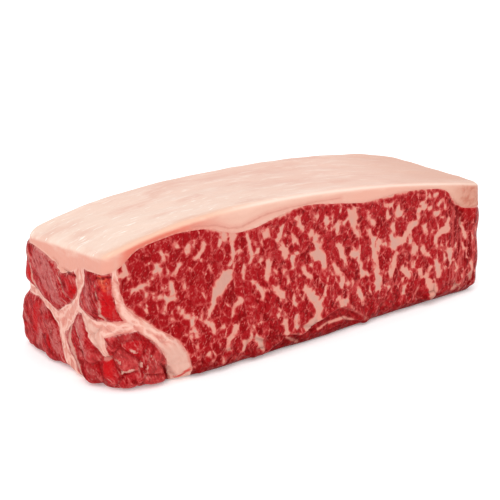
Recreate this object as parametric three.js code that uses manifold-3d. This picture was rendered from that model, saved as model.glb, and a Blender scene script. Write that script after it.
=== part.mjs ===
// Raw sirloin steak: a thick block cut across the loin, standing with its fat cap up.
// Millimetres, +Z up. X runs along the steak, the marbled cut face looks to -Y and the trimmed end,
// where the small muscles show, to -X. The origin is at the base, below the middle of the plan.
// The sizes below are measured from a line across the block, a little to the left of its middle.
import * as THREE from 'three';
import { mergeVertices } from 'three/addons/utils/BufferGeometryUtils.js';
import Module from 'manifold-3d';

const wasm = await Module();
wasm.setup();

// The block as cut, before its corners are rounded and its faces swell
const leftX = -109.5;
const rightX = 116.8;
const frontY = -35.9;
const backY = 36.8;
const nominalHeight = 68;
const halfLength = (rightX - leftX) / 2;
const middleX = (rightX + leftX) / 2;
const halfDepth = (backY - frontY) / 2;
const middleY = (backY + frontY) / 2;

// Arched top: the crease over the cut face and the one at the back, each a peak that falls to both ends
const frontCrest = {
  peakX: -25.8, peakZ: 71.9, leftDrop: 9.5, leftPower: 2.6, rightDrop: 15.9, rightPower: 1.75,
};
const backCrest = {
  peakX: 5.5, peakZ: 67.3, leftDrop: 12.9, leftPower: 3, rightDrop: 10.6, rightPower: 2.2,
};

// Radii of the rims and of the four upright corners in plan
const topRimRadius = 2.3;
const baseRimRadius = 4.1;
const nearLeftCorner = { base: 23, top: 3.7 };
const backLeftCorner = { base: 5.5, top: 8.3 };
const nearRightCorner = { base: 11, top: 10 };
const backRightCorner = { base: 14.5, top: 16.5 };

// How far the soft faces swell
const frontBelly = { all: 2, lump: 2.9, fromX: -84.6, fullX: -60.7, fadeX: 0, endX: 57, fullZ: 10, topZ: 42.3 };
const backFlare = { left: 6.4, right: 1.8, fromX: -46, fullZ: 13, topZ: 60.7 };
const endSwell = { left: 0.7, right: 2.9 };
const ripple = { height: 0.5, long: 5.6, short: 4.3, bend: 7.6, slant: 11.9 };

// Thickness of the fat cap: along the cut face (x, mm) and across the trimmed end (y, mm)
const capAlongFront = [
  [-108.6, 7.4], [-102.1, 6.4], [-96.6, 4], [-82.8, 3.7], [-69.9, 4.3], [-58, 6.4], [-44.2, 11.3],
  [-32.2, 11.2], [-22.1, 8.8], [-5.5, 5.7], [12.9, 6.6], [29.4, 7.8], [44.2, 6], [57, 4], [82.8, 3],
  [88.3, 5.1], [94.8, 12], [108.6, 12.7],
];
const capAcrossEnd = [
  [-35, 8.3], [-24.8, 7.8], [-14.7, 8.3], [-7.4, 11], [0, 12.2], [10, 8.1], [16.6, 6.1], [24.8, 4.4], [33, 3.2],
];
const capDrift = { slope: 0.22, fullX: 55, noneX: 87 };
const capEndBlend = { fromX: -92, fullX: -106.7 };

// Main seam of fat, between the eye muscle and the end muscles: x, z and half width on the cut face.
// The sheet leans along the steak towards the back, more at its top than at its base.
const mainSeam = [
  [-104.9, 68, 1.4], [-104.5, 52.4, 1.3], [-102.9, 41.4, 1.7], [-99.7, 33.4, 2.6], [-95.1, 28.2, 2.1],
  [-89.2, 23.9, 2.6], [-83.2, 18, 3.9], [-77.6, 10.9, 5.7], [-73.2, 2.8, 6.4], [-70.8, -5.5, 6.6],
];
const seamLean = { base: 5.5, top: 31, fullZ: 55 };

// Fat between the small muscles of the trimmed end: y, z and half width there, and how deep each reaches
const endSeams = [
  {
    depth: 5.5,
    line: [
      [-13.8, 58, 4.2], [-13.8, 47.8, 4.2], [-12.9, 40.9, 2.5], [-10.5, 35, 3.3], [-3.7, 28.1, 4.6],
      [2.8, 23, 6.1], [3.9, 17.5, 5.7], [0.9, 10.6, 4.8], [-4.6, 3.7, 5], [-8.3, -4.6, 5.2],
    ],
  },
  {
    depth: 5.5,
    line: [
      [46, 33.6, 3.9], [35, 33.1, 4.2], [26.7, 32.2, 5], [20.7, 30.4, 2.4], [15.6, 27.6, 2.4], [9.2, 24.4, 4],
      [2.8, 22.1, 4.6],
    ],
  },
  {
    depth: 15,
    line: [
      [-7.4, 31.7, 2.8], [-13.8, 32.2, 1.7], [-19.3, 29.9, 3.5], [-24.8, 26.1, 5.9], [-31.3, 25.3, 7],
      [-38.6, 28.5, 5], [-46, 31.3, 4.6],
    ],
  },
];
const seamGroove = { depth: 1, reach: 3.5 };

const gap = 0.3;
const blockCells = { along: 34, across: 17, up: 15 };
const slabCells = { along: 40, across: 18 };
const sheetCells = { deep: 8, down: 18 };
const overshoot = 12;
const smallestEdge = 0.05;

const smooth = (value, from, to) => THREE.MathUtils.smoothstep((value - from) / (to - from), 0, 1);
const mix = (a, b, t) => a + (b - a) * t;
const clamp = THREE.MathUtils.clamp;

// A smooth curve through rows of numbers: the first column is the place, another one the value
function through(rows, place, column = 1) {
  const last = rows.length - 1;
  if (place <= rows[0][0]) return rows[0][column];
  if (place >= rows[last][0]) return rows[last][column];
  let i = 0;
  while (rows[i + 1][0] < place) i += 1;
  const slope = (a, b) => (rows[b][column] - rows[a][column]) / (rows[b][0] - rows[a][0]);
  const width = rows[i + 1][0] - rows[i][0];
  const t = (place - rows[i][0]) / width;
  const startSlope = slope(Math.max(i - 1, 0), i + 1);
  const endSlope = slope(i, Math.min(i + 2, last));
  const rise = mix(rows[i][column], rows[i + 1][column], t * t * (3 - 2 * t));
  return rise + width * t * (1 - t) * (startSlope * (1 - t) - endSlope * t);
}

function crestHeight(crest, x) {
  const left = x < crest.peakX;
  const reach = left ? crest.peakX - leftX : rightX - crest.peakX;
  const drop = left ? crest.leftDrop : crest.rightDrop;
  const power = left ? crest.leftPower : crest.rightPower;
  return crest.peakZ - drop * (Math.abs(x - crest.peakX) / reach) ** power;
}

function topHeight(x, y) {
  return mix(crestHeight(frontCrest, x), crestHeight(backCrest, x), (y - frontY) / (backY - frontY));
}

// Height of the cap's underside, which is also the top of the lean
function leanHeight(x, y) {
  const drift = capDrift.slope * (y - frontY) * smooth(x, capDrift.noneX, capDrift.fullX);
  const alongFront = through(capAlongFront, x - drift);
  const acrossEnd = through(capAcrossEnd, y);
  return topHeight(x, y) - mix(alongFront, acrossEnd, smooth(x, capEndBlend.fromX, capEndBlend.fullX));
}

// Distance from a place on the trimmed end to the edge of the nearest seam of fat, negative inside it
function seamDistance(y, z) {
  let nearest = Infinity;
  for (const { line } of endSeams) {
    for (let i = 0; i + 1 < line.length; i += 1) {
      const [y0, z0, half0] = line[i];
      const [y1, z1, half1] = line[i + 1];
      const t = clamp(((y - y0) * (y1 - y0) + (z - z0) * (z1 - z0)) / ((y1 - y0) ** 2 + (z1 - z0) ** 2), 0, 1);
      const away = Math.hypot(y - mix(y0, y1, t), z - mix(z0, z1, t));
      nearest = Math.min(nearest, away - mix(half0, half1, t));
    }
  }
  return nearest;
}

function roundRims(p) {
  const radius = mix(baseRimRadius, topRimRadius, smooth(p.z / nominalHeight, 0.2, 0.8));
  const overX = Math.max(0, Math.abs(p.x) - (halfLength - radius));
  const overY = Math.max(0, Math.abs(p.y) - (halfDepth - radius));
  const overZ = Math.max(0, p.z - (nominalHeight - radius), radius - p.z);
  const reach = Math.hypot(overX, overY, overZ);
  if (reach <= radius) return;
  const pull = radius / reach - 1;
  p.x += Math.sign(p.x) * overX * pull;
  p.y += Math.sign(p.y) * overY * pull;
  p.z += Math.sign(p.z - nominalHeight / 2) * overZ * pull;
}

// Squares of the plan's corners become quarter discs
function roundCorners(p) {
  const leftCorner = p.y < 0 ? nearLeftCorner : backLeftCorner;
  const rightCorner = p.y < 0 ? nearRightCorner : backRightCorner;
  const corner = p.x < 0 ? leftCorner : rightCorner;
  const radius = mix(corner.base, corner.top, smooth(p.z / nominalHeight, 0.1, 1));
  const overX = Math.abs(p.x) - (halfLength - radius);
  const overY = Math.abs(p.y) - (halfDepth - radius);
  if (overX <= 0 || overY <= 0) return;
  const pull = Math.max(overX, overY) / Math.hypot(overX, overY) - 1;
  p.x += Math.sign(p.x) * overX * pull;
  p.y += Math.sign(p.y) * overY * pull;
}

// Gentle unevenness of soft meat, between -1 and 1
function unevenness(a, b) {
  const slow = Math.sin(a / ripple.long + 1.4 * Math.sin(b / ripple.bend));
  return 0.6 * slow + 0.4 * Math.sin(b / ripple.short + a / ripple.slant);
}

// Depth of the hollow along the seams of the trimmed end, below the cap
function grooveDepth(x, y, z) {
  const belowCap = smooth(leanHeight(x, y) - z, -seamGroove.reach, seamGroove.reach);
  return seamGroove.depth * belowCap * smooth(seamDistance(y, z), seamGroove.reach, 0);
}

function swell(p) {
  const x = p.x + middleX;
  const y = p.y + middleY;
  const frontward = clamp(0.5 - p.y / (2 * halfDepth), 0, 1);
  const bow = Math.sin(Math.PI * clamp(p.z / nominalHeight, 0, 1));
  const lump = smooth(x, frontBelly.fromX, frontBelly.fullX) * smooth(x, frontBelly.endX, frontBelly.fadeX);
  const belly = (frontBelly.all + frontBelly.lump * lump) * smooth(p.z, frontBelly.topZ, frontBelly.fullZ);
  const flare = mix(backFlare.left, backFlare.right, smooth(x, leftX, backFlare.fromX));
  p.y += (1 - frontward) * flare * smooth(p.z, backFlare.topZ, backFlare.fullZ);
  p.y -= frontward * (belly + ripple.height * unevenness(x, p.z) * bow);
  const endward = (p.x / halfLength) ** 6;
  const swollen = (p.x < 0 ? endSwell.left : endSwell.right) * (bow - 1);
  const groove = p.x < 0 ? grooveDepth(x, y, p.z * topHeight(x, y) / nominalHeight) : 0;
  const ripples = 0.5 * ripple.height * unevenness(y, p.z);
  p.x += Math.sign(p.x) * endward * (swollen + bow * (ripples - groove));
}

function shapedPoint(x, y, z) {
  const p = new THREE.Vector3(x, y, z);
  roundRims(p);
  roundCorners(p);
  swell(p);
  p.x += middleX;
  p.y += middleY;
  p.z *= topHeight(p.x, p.y) / nominalHeight;
  return p;
}

function reshape(geometry, move) {
  const position = geometry.attributes.position;
  for (let i = 0; i < position.count; i += 1) {
    const moved = move(position.getX(i), position.getY(i), position.getZ(i));
    position.setXYZ(i, moved.x, moved.y, moved.z);
  }
  return geometry;
}

function toSolid(geometry) {
  geometry.deleteAttribute('normal');
  geometry.deleteAttribute('uv');
  const merged = mergeVertices(geometry, 1e-4);
  return new wasm.Manifold(new wasm.Mesh({
    numProp: 3,
    vertProperties: new Float32Array(merged.attributes.position.array),
    triVerts: new Uint32Array(merged.index.array),
  }));
}

function steakBlock() {
  const { along, across, up } = blockCells;
  const box = new THREE.BoxGeometry(2 * halfLength, 2 * halfDepth, nominalHeight, along, across, up);
  return toSolid(reshape(box, (x, y, z) => shapedPoint(x, y, z + nominalHeight / 2)));
}

// Everything above the lean, as one slab that is larger than the block all round
function capSlab(grow) {
  const { along, across } = slabCells;
  const slab = new THREE.BoxGeometry(
    2 * (halfLength + overshoot), 2 * (halfDepth + overshoot), 1, along, across, 1);
  return toSolid(reshape(slab, (x, y, z) => {
    const place = new THREE.Vector3(x + middleX, y + middleY, 2 * nominalHeight);
    if (z < 0) place.z = leanHeight(place.x, place.y) - grow;
    return place;
  }));
}

// A place along a seam, 0 to 1 from its first row: its middle, the direction across it and its half width
function station(line, t) {
  const rows = line.map((row, i) => [i, ...row]);
  const place = t * (line.length - 1);
  const at = (where) => new THREE.Vector2(through(rows, where, 1), through(rows, where, 2));
  const ahead = at(place + 0.1).sub(at(place - 0.1)).normalize();
  return { middle: at(place), across: new THREE.Vector2(-ahead.y, ahead.x), half: through(rows, place, 3) };
}

// The sheet of fat that runs from the cut face to the back
function mainSeamSheet(grow) {
  const sheet = new THREE.BoxGeometry(1, 1, 1, 1, sheetCells.deep, sheetCells.down);
  return toSolid(reshape(sheet, (x, y, z) => {
    const { middle, across, half } = station(mainSeam, 0.5 - z);
    const placeY = mix(frontY - overshoot, backY + overshoot, y + 0.5);
    const lean = mix(seamLean.base, seamLean.top, smooth(middle.y, 0, seamLean.fullZ));
    const shift = lean * (placeY - frontY) / (backY - frontY);
    const aside = across.multiplyScalar(2 * x * (half + grow));
    return new THREE.Vector3(middle.x + aside.x + shift, placeY, middle.y + aside.y);
  }));
}

// One strip of fat let into the trimmed end
function endSeamStrip({ line, depth }, grow) {
  const strip = new THREE.BoxGeometry(1, 1, 1, 1, 1, 2 * (line.length - 1));
  return toSolid(reshape(strip, (x, y, z) => {
    const { middle, across, half } = station(line, 0.5 - z);
    const aside = across.multiplyScalar(2 * y * (half + grow));
    const placeX = x > 0 ? leftX + depth + grow : leftX - overshoot;
    return new THREE.Vector3(placeX, middle.x + aside.x, middle.y + aside.y);
  }));
}

function fatRegion(grow) {
  const strips = endSeams.map((seam) => endSeamStrip(seam, grow));
  return strips.reduce((sum, strip) => sum.add(strip), capSlab(grow).add(mainSeamSheet(grow)));
}

function toMesh(name, solid, color, roughness) {
  const { vertProperties, triVerts } = solid.getMesh();
  const geometry = new THREE.BufferGeometry();
  geometry.setAttribute('position', new THREE.BufferAttribute(new Float32Array(vertProperties), 3));
  geometry.setIndex(new THREE.BufferAttribute(new Uint32Array(triVerts), 1));
  geometry.computeVertexNormals();
  const mesh = new THREE.Mesh(geometry, new THREE.MeshStandardMaterial({ color, roughness, metalness: 0 }));
  mesh.name = name;
  return mesh;
}

const block = steakBlock();
const fat = block.intersect(fatRegion(0)).simplify(smallestEdge);
const lean = block.subtract(fatRegion(gap)).simplify(smallestEdge);
const [eyeMuscle, endMuscles] = lean.decompose().sort((a, b) => b.volume() - a.volume());

const group = new THREE.Group();
group.add(toMesh('fat_cap_and_seam', fat, 0xe9c3ae, 0.45));
group.add(toMesh('eye_muscle', eyeMuscle, 0xa8202a, 0.4));
group.add(toMesh('end_muscles', endMuscles, 0xb02a33, 0.45));

// The base plane is at z = 0 and the plan is centred on the origin
const bounds = new THREE.Box3().setFromObject(group);
const centre = bounds.getCenter(new THREE.Vector3());
group.position.set(-centre.x, -centre.y, -bounds.min.z);

export default group;
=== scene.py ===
# Raw sirloin steak: a marbled block under its fat cap, with the small muscles of the trimmed end
import random
from math import radians

import bmesh
import bpy
import numpy as np
from mathutils import Euler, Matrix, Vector, noise


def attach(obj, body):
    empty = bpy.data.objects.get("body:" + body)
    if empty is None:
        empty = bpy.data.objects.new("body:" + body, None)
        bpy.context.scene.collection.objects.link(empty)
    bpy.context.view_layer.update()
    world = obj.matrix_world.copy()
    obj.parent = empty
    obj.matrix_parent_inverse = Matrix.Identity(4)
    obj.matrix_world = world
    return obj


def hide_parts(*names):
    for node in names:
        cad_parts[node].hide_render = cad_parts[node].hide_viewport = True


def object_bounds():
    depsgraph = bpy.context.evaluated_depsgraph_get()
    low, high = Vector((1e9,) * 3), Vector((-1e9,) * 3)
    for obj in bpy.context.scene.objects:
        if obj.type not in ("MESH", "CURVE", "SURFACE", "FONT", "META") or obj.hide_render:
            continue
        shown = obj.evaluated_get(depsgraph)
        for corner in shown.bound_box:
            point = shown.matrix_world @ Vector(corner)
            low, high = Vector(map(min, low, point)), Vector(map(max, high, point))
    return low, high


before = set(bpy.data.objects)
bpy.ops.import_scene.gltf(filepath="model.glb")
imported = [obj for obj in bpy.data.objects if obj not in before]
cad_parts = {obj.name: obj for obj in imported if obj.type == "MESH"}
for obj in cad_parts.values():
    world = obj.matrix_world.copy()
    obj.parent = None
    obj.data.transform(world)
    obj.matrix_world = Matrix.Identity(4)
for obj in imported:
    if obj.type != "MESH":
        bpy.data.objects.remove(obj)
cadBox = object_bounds()

# All sizes are millimetres from a line across the block, a little to the left of its middle
block = {
    "leftX": -109.5, "rightX": 116.8, "frontY": -35.9, "backY": 36.8, "height": 68,
    "centre": (3.66, 1.05, 0),       # middle of the finished plan, which comes to the origin
    "cells": (300, 76, 98),          # along, across and up
    "topRim": 2.3, "baseRim": 4.1,
    "corners": {                     # radii at the base and at the top
        "nearLeft": (23, 3.7), "backLeft": (5.5, 8.3), "nearRight": (11, 10), "backRight": (14.5, 16.5),
    },
    "frontCrest": {"peakX": -25.8, "peakZ": 71.9, "left": (9.5, 2.6), "right": (15.9, 1.75)},
    "backCrest": {"peakX": 5.5, "peakZ": 67.3, "left": (12.9, 3), "right": (10.6, 2.2)},
}
swells = {
    "belly": 2, "lump": 2.9, "lumpLeft": (-84.6, -60.7), "lumpRight": (57, 0), "bellyZ": (42.3, 10),
    "flareLeft": 6.4, "flareRight": 1.8, "flareX": -46, "flareZ": (60.7, 13),
    "leftEnd": 0.7, "rightEnd": 2.9,
    "ripple": 0.5, "long": 5.6, "short": 4.3, "bend": 7.6, "slant": 11.9,
}
# The photograph's camera, fitted to the block's edges
photo = {
    "pixels": 500, "lens": 85, "sensor": 36, "pitch": 18.5, "turn": -37.03,
    "cameraPlace": (-0.33182, -0.42462, 0.21381),    # metres
}
# Thickness of the cap along the cut face (x, mm) and across the trimmed end (y, mm)
capAlongFront = [
    (-108.6, 7.4), (-102.1, 6.4), (-96.6, 4), (-82.8, 3.7), (-69.9, 4.3), (-58, 6.4), (-44.2, 11.3),
    (-32.2, 11.2), (-22.1, 8.8), (-5.5, 5.7), (12.9, 6.6), (29.4, 7.8), (44.2, 6), (57, 4), (78, 3),
    (84.5, 3.8), (88.5, 5.8), (91.6, 8.6), (94.6, 11.4), (99, 13), (108.6, 12.7),
]
capAcrossEnd = [
    (-35, 8.3), (-24.8, 7.8), (-14.7, 8.3), (-7.4, 11), (0, 12.2), (10, 8.1), (16.6, 6.1), (24.8, 4.4),
    (33, 3.2),
]
# Main seam on the cut face: x, z and half width
mainSeam = [
    (-105, 68, 1), (-104.7, 52.4, 1.3), (-103.6, 44, 1.8), (-100.9, 37, 2.2), (-96.2, 31.8, 2.6),
    (-90.5, 27, 2.7), (-84.6, 21.8, 3), (-79.4, 16.6, 4.3), (-76.4, 10.6, 4.9), (-75, 4, 5),
    (-74.2, -5.5, 4.6),
]
seamLean = {"base": 5.5, "top": 31, "fullZ": 55}
# Fat between the small muscles of the trimmed end: y, z and half width, and how deep each strip reaches
endSeams = [
    (5.5, [
        (-13.8, 58, 4.6), (-13.8, 47.8, 3.8), (-12.9, 40.9, 1.9), (-10.5, 35, 2.6), (-3.7, 28.1, 4),
        (2.8, 23, 5.2), (4.6, 17.5, 3.5), (1.7, 10.6, 3.2), (-3.4, 3.7, 4), (-8.3, -4.6, 5),
    ]),
    (5.5, [
        (46, 28.5, 1.6), (35, 29, 2.2), (28, 29, 2), (22, 28.2, 1.5), (15.6, 25.6, 1.6), (9.2, 23.2, 2.6),
        (2.8, 22.1, 4),
    ]),
    (15, [
        (-7.4, 32.5, 2.6), (-13.8, 32.8, 1.7), (-19.3, 30, 2.9), (-24.8, 27.6, 4), (-30, 28.8, 3.4),
        (-36, 29.6, 2.2), (-46, 30.5, 1.6),
    ]),
    (5.5, [(-22.5, 28, 4.8), (-24.5, 21.5, 4.2), (-27, 15, 1.4)]),
]
overshoot = 12    # the cutting shapes are this much larger than the block

halfLength = (block["rightX"] - block["leftX"]) / 2
middleX = (block["rightX"] + block["leftX"]) / 2
halfDepth = (block["backY"] - block["frontY"]) / 2
middleY = (block["backY"] + block["frontY"]) / 2
height = block["height"]


def smooth(value, start, end):
    t = np.clip((value - start) / (end - start), 0, 1)
    return t * t * (3 - 2 * t)


def mix(a, b, t):
    return a + (b - a) * t


# A smooth curve through rows of numbers: the first column is the place, another one the value
def through(rows, place, column=1):
    table = np.array(rows, float)
    xs, ys = table[:, 0], table[:, column]
    i = np.clip(np.searchsorted(xs, place, side="right") - 1, 0, len(xs) - 2)
    width = xs[i + 1] - xs[i]
    t = np.clip((place - xs[i]) / width, 0, 1)
    before, after = np.maximum(i - 1, 0), np.minimum(i + 2, len(xs) - 1)
    startSlope = (ys[i + 1] - ys[before]) / (xs[i + 1] - xs[before])
    endSlope = (ys[after] - ys[i]) / (xs[after] - xs[i])
    rise = ys[i] + (ys[i + 1] - ys[i]) * t * t * (3 - 2 * t)
    return rise + width * t * (1 - t) * (startSlope * (1 - t) - endSlope * t)


def crestHeight(crest, x):
    isLeft = x < crest["peakX"]
    reach = np.where(isLeft, crest["peakX"] - block["leftX"], block["rightX"] - crest["peakX"])
    drop = np.where(isLeft, crest["left"][0], crest["right"][0])
    power = np.where(isLeft, crest["left"][1], crest["right"][1])
    return crest["peakZ"] - drop * (np.abs(x - crest["peakX"]) / reach) ** power


def topHeight(x, y):
    across = (y - block["frontY"]) / (block["backY"] - block["frontY"])
    return mix(crestHeight(block["frontCrest"], x), crestHeight(block["backCrest"], x), across)


# Height of the cap's underside, which is also the top of the lean
def leanHeight(x, y):
    drift = 0.22 * (y - block["frontY"]) * smooth(x, 87, 55)
    alongFront = through(capAlongFront, x - drift)
    acrossEnd = through(capAcrossEnd, y)
    return topHeight(x, y) - mix(alongFront, acrossEnd, smooth(x, -92, -106.7))


# Distance to the edge of a line of (a, b, half width) rows, negative inside it
def lineDistance(rows, a, b):
    nearest = np.full(np.shape(a), 1e6)
    if len(rows) == 1:
        rows = rows * 2
    for (a0, b0, half0), (a1, b1, half1) in zip(rows, rows[1:]):
        length = (a1 - a0) ** 2 + (b1 - b0) ** 2 + 1e-9
        t = np.clip(((a - a0) * (a1 - a0) + (b - b0) * (b1 - b0)) / length, 0, 1)
        away = np.hypot(a - mix(a0, a1, t), b - mix(b0, b1, t))
        nearest = np.minimum(nearest, away - mix(half0, half1, t))
    return nearest


def endSeamDistance(y, z):
    return np.min([lineDistance(line, y, z) for depth, line in endSeams], axis=0)


def seamShift(y, z):
    lean = mix(seamLean["base"], seamLean["top"], smooth(z, 0, seamLean["fullZ"]))
    return lean * (y - block["frontY"]) / (block["backY"] - block["frontY"])


# Gentle unevenness of soft meat, between -1 and 1
def unevenness(a, b):
    slow = np.sin(a / swells["long"] + 1.4 * np.sin(b / swells["bend"]))
    return 0.6 * slow + 0.4 * np.sin(b / swells["short"] + a / swells["slant"])


def roundRims(x, y, z):
    radius = mix(block["baseRim"], block["topRim"], smooth(z / height, 0.2, 0.8))
    overX = np.maximum(0, np.abs(x) - (halfLength - radius))
    overY = np.maximum(0, np.abs(y) - (halfDepth - radius))
    overZ = np.maximum(0, np.maximum(z - (height - radius), radius - z))
    reach = np.hypot(np.maximum(overX, overY), overZ)
    pull = np.where(reach > radius, radius / np.maximum(reach, 1e-6) - 1, 0)
    x = x + np.sign(x) * overX * pull
    y = y + np.sign(y) * overY * pull
    return x, y, z + np.sign(z - height / 2) * overZ * pull


# Squares of the plan's corners become quarter discs
def roundCorners(x, y, z):
    corners = block["corners"]
    upward = smooth(z / height, 0.1, 1)
    sizes = {name: mix(size[0], size[1], upward) for name, size in corners.items()}
    leftRadius = np.where(y < 0, sizes["nearLeft"], sizes["backLeft"])
    rightRadius = np.where(y < 0, sizes["nearRight"], sizes["backRight"])
    radius = np.where(x < 0, leftRadius, rightRadius)
    overX = np.abs(x) - (halfLength - radius)
    overY = np.abs(y) - (halfDepth - radius)
    inside = (overX > 0) & (overY > 0)
    pull = np.where(inside, np.maximum(overX, overY) / np.maximum(np.hypot(overX, overY), 1e-6) - 1, 0)
    return x + np.sign(x) * overX * pull, y + np.sign(y) * overY * pull


# How far the cut face bulges, in millimetres
def bellyDepth(x, z):
    lump = smooth(x, *swells["lumpLeft"]) * smooth(x, *swells["lumpRight"])
    return (swells["belly"] + swells["lump"] * lump) * smooth(z, *swells["bellyZ"])


def swell(x, y, z):
    realX, realY = x + middleX, y + middleY
    frontward = np.clip(0.5 - y / (2 * halfDepth), 0, 1)
    bow = np.sin(np.pi * np.clip(z / height, 0, 1))
    flare = mix(swells["flareLeft"], swells["flareRight"], smooth(realX, block["leftX"], swells["flareX"]))
    newY = y + (1 - frontward) * flare * smooth(z, *swells["flareZ"])
    newY = newY - frontward * (bellyDepth(realX, z) + swells["ripple"] * unevenness(realX, z) * bow)
    endward = (x / halfLength) ** 6
    swollen = np.where(x < 0, swells["leftEnd"], swells["rightEnd"]) * (bow - 1)
    realZ = z * topHeight(realX, realY) / height
    belowCap = smooth(leanHeight(realX, realY) - realZ, -3.5, 3.5)
    groove = np.where(x < 0, belowCap * smooth(endSeamDistance(realY, realZ), 3.5, 0), 0)
    ripples = 0.5 * swells["ripple"] * unevenness(realY, z)
    newX = x + np.sign(x) * endward * (swollen + bow * (ripples - groove))
    return newX, newY


def shapedPoints(points):
    x, y, z = roundRims(*points.T)
    x, y = roundCorners(x, y, z)
    x, y = swell(x, y, z)
    x, y = x + middleX, y + middleY
    return np.column_stack((x, y, z * topHeight(x, y) / height))


def getPoints(mesh):
    flat = np.empty(len(mesh.vertices) * 3, np.float32)
    mesh.vertices.foreach_get("co", flat)
    return flat.reshape(-1, 3).astype(float)


def setPoints(mesh, points):
    mesh.vertices.foreach_set("co", points.astype(np.float32).ravel())
    mesh.update()


def getNormals(mesh):
    flat = np.empty(len(mesh.vertices) * 3, np.float32)
    mesh.vertices.foreach_get("normal", flat)
    return flat.reshape(-1, 3).astype(float)


# Perlin noise between about -1 and 1, with its own scale in millimetres for each axis
def noiseAt(points, scales, seed=0):
    places = points / np.array(scales, float) + seed * 7.31
    return np.array([noise.noise(Vector(place)) for place in places])


# Soft lumps of the given size in millimetres: how far each point is inside its lump (0 on a crease), and a
# number between about -1 and 1 that is the lump's own
def lumpsAt(points, size, seed=0):
    inside, own = [], []
    for place in points / size + seed * 3.17:
        distances, centres = noise.voronoi(Vector(place))
        inside.append(distances[1] - distances[0])
        own.append(noise.noise(centres[0] * 5.3))
    return np.array(inside), np.array(own)


# A box of the given size round the origin, cut into a grid of cells
def gridBox(name, size, cells):
    bm = bmesh.new()
    bmesh.ops.create_cube(bm, size=1)
    bmesh.ops.scale(bm, vec=size, verts=bm.verts)
    for axis, count in enumerate(cells):
        if count < 2:
            continue
        along = []
        for edge in bm.edges:
            run = edge.verts[1].co - edge.verts[0].co
            if abs(run[axis]) > 0.99 * run.length:
                along.append(edge)
        bmesh.ops.subdivide_edges(bm, edges=along, cuts=count - 1, use_grid_fill=True)
    mesh = bpy.data.meshes.new(name)
    bm.to_mesh(mesh)
    bm.free()
    piece = bpy.data.objects.new(name, mesh)
    bpy.context.scene.collection.objects.link(piece)
    return piece


def carve(piece, other, operation):
    cut = piece.modifiers.new("cut", "BOOLEAN")
    cut.object = other
    cut.operation = operation
    cut.solver = "MANIFOLD"
    bpy.context.view_layer.update()
    result = bpy.data.meshes.new_from_object(piece.evaluated_get(bpy.context.evaluated_depsgraph_get()))
    piece.modifiers.clear()
    piece.data = result
    return piece


def copyOf(piece, name):
    twin = bpy.data.objects.new(name, piece.data.copy())
    bpy.context.scene.collection.objects.link(twin)
    return twin


# Fine relief of the surfaces, in millimetres along the normal
relief = {
    "lobes": 0.32, "soft": 0.3, "capWaves": 0.35, "fibres": 0.4, "borderGroove": 0.45, "membraneGroove": 0.35,
    "baseScallops": 0.9, "creaseDepth": 0.8, "lipDepth": 1.3, "bulge": 1.1, "endLumps": 0.6, "footLift": 1.2,
    "gobs": 1.4, "gobSize": 9.5, "notch": 2.6, "knob": 1.3, "capGrain": 0.12, "ledge": 0.8,
    "rightCrease": 1.4, "underside": 0.25, "sheetWander": 0.6, "stripWander": 0.9,
}
# Line of the membrane inside the cap's cut rim: x, z and half width
membraneLine = [
    (-66, 67.3, 0.2), (-54, 65.7, 0.25), (-47, 63, 0.3), (-40.5, 62.3, 0.35), (-35, 63.8, 0.35),
    (-27, 65.7, 0.3), (-14, 66.4, 0.25), (1, 66.4, 0.2), (16, 65.7, 0.15),
]
# Creases under the cap at the trimmed end, grooved and darkened with painted shade: y, z and half width
endCreases = [
    [(8, 49.5, 0.1), (5, 48.4, 0.3)], [(0, 47.6, 0.1), (-5, 47.2, 0.4), (-10, 47, 0.1)],
    [(-29, 52, 0.1), (-33, 52.6, 0.4), (-35, 53.4, 0.1)],
    [(3, 46, 0.1), (0.8, 41, 0.3), (-1.7, 36.3, 0.2), (-5, 33, 0.1)],
    [(-10, 24, 0.1), (-14.5, 16, 0.2), (-15, 10, 0.1)], [(22, 21, 0.1), (17, 14, 0.2), (14, 8, 0.1)],
]
# Fold at the foot of the cut face, where the membrane below is drawn in: x, z
foldLine = [(-31, 1.5), (-24.8, 4.6), (-17.4, 8), (-9.7, 6.1), (-0.9, 9.8), (14.7, 13.3), (24, 9), (34, 2)]
# Notch beside the foot of the main seam, crease below the cap's right end and a knob of fat:
# x, z and half width
notchLine = [(-84, 9.5, 0.1), (-81.4, 6, 0.3), (-79.8, 2, 0.9), (-79.4, -2, 1.2)]
rightCrease = [(90, 51, 0.1), (93.9, 47.6, 0.3), (97.1, 43.4, 0.3), (99, 37, 0.1)]
knobPlace = [(76.4, 7.4, 2.2)]


def membraneDistance(x, z):
    return lineDistance(membraneLine, x, z)


# How far a point of the cut face lies in the drawn-in membrane at its foot, 0 to 1
def inVeil(x, z):
    across = smooth(x, -31, -24) * smooth(x, 33, 22)
    return across * smooth(through(foldLine, x) - z, -0.4, 1.2)


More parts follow.
